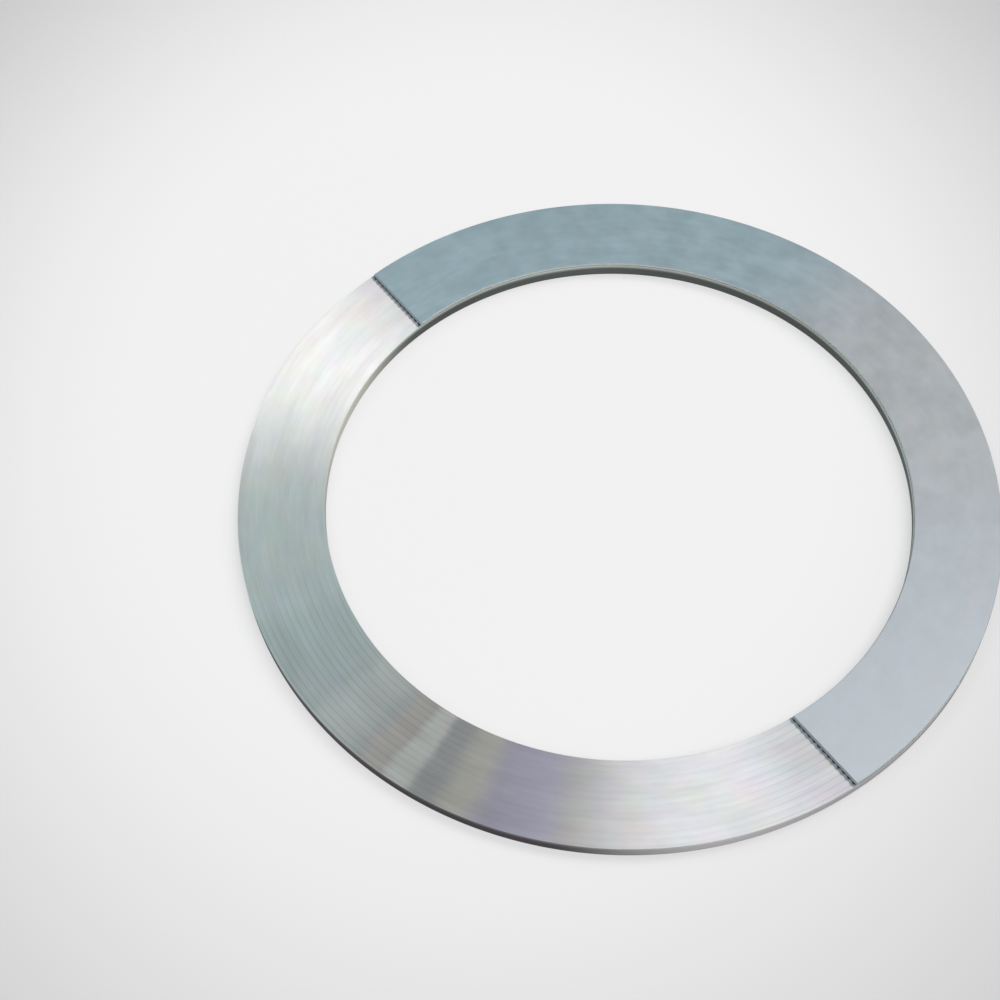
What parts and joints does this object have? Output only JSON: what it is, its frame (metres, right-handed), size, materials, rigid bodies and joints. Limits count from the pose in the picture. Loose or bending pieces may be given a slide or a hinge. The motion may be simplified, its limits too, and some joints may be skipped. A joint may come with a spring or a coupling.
{
  "type": "serrated metal gasket",
  "caption": "Flat ring seal for a pipe flange: a steel core turned with concentric grooves, faced with soft graphite sheet that is cut back on top to bare the grooves.",
  "frame": {"origin": "on the bore's axis, in the plane of the underside that the gasket rests on", "axes": "+Z along the bore's axis, out of the face with the cut-back facing; X along the straight cut edge of that facing; the bare grooves lie towards -Y"},
  "size_m": [0.149, 0.149, 0.0035],
  "materials": {
    "turned_steel": "bright stainless steel, turned with concentric V grooves",
    "graphite_sheet": "satin blue-grey flexible graphite sheet with faint rolling streaks"
  },
  "bodies": {
    "root": {"serrated_core": "turned_steel", "lower_facing": "graphite_sheet", "upper_facing": "graphite_sheet"}
  },
  "joints": []
}
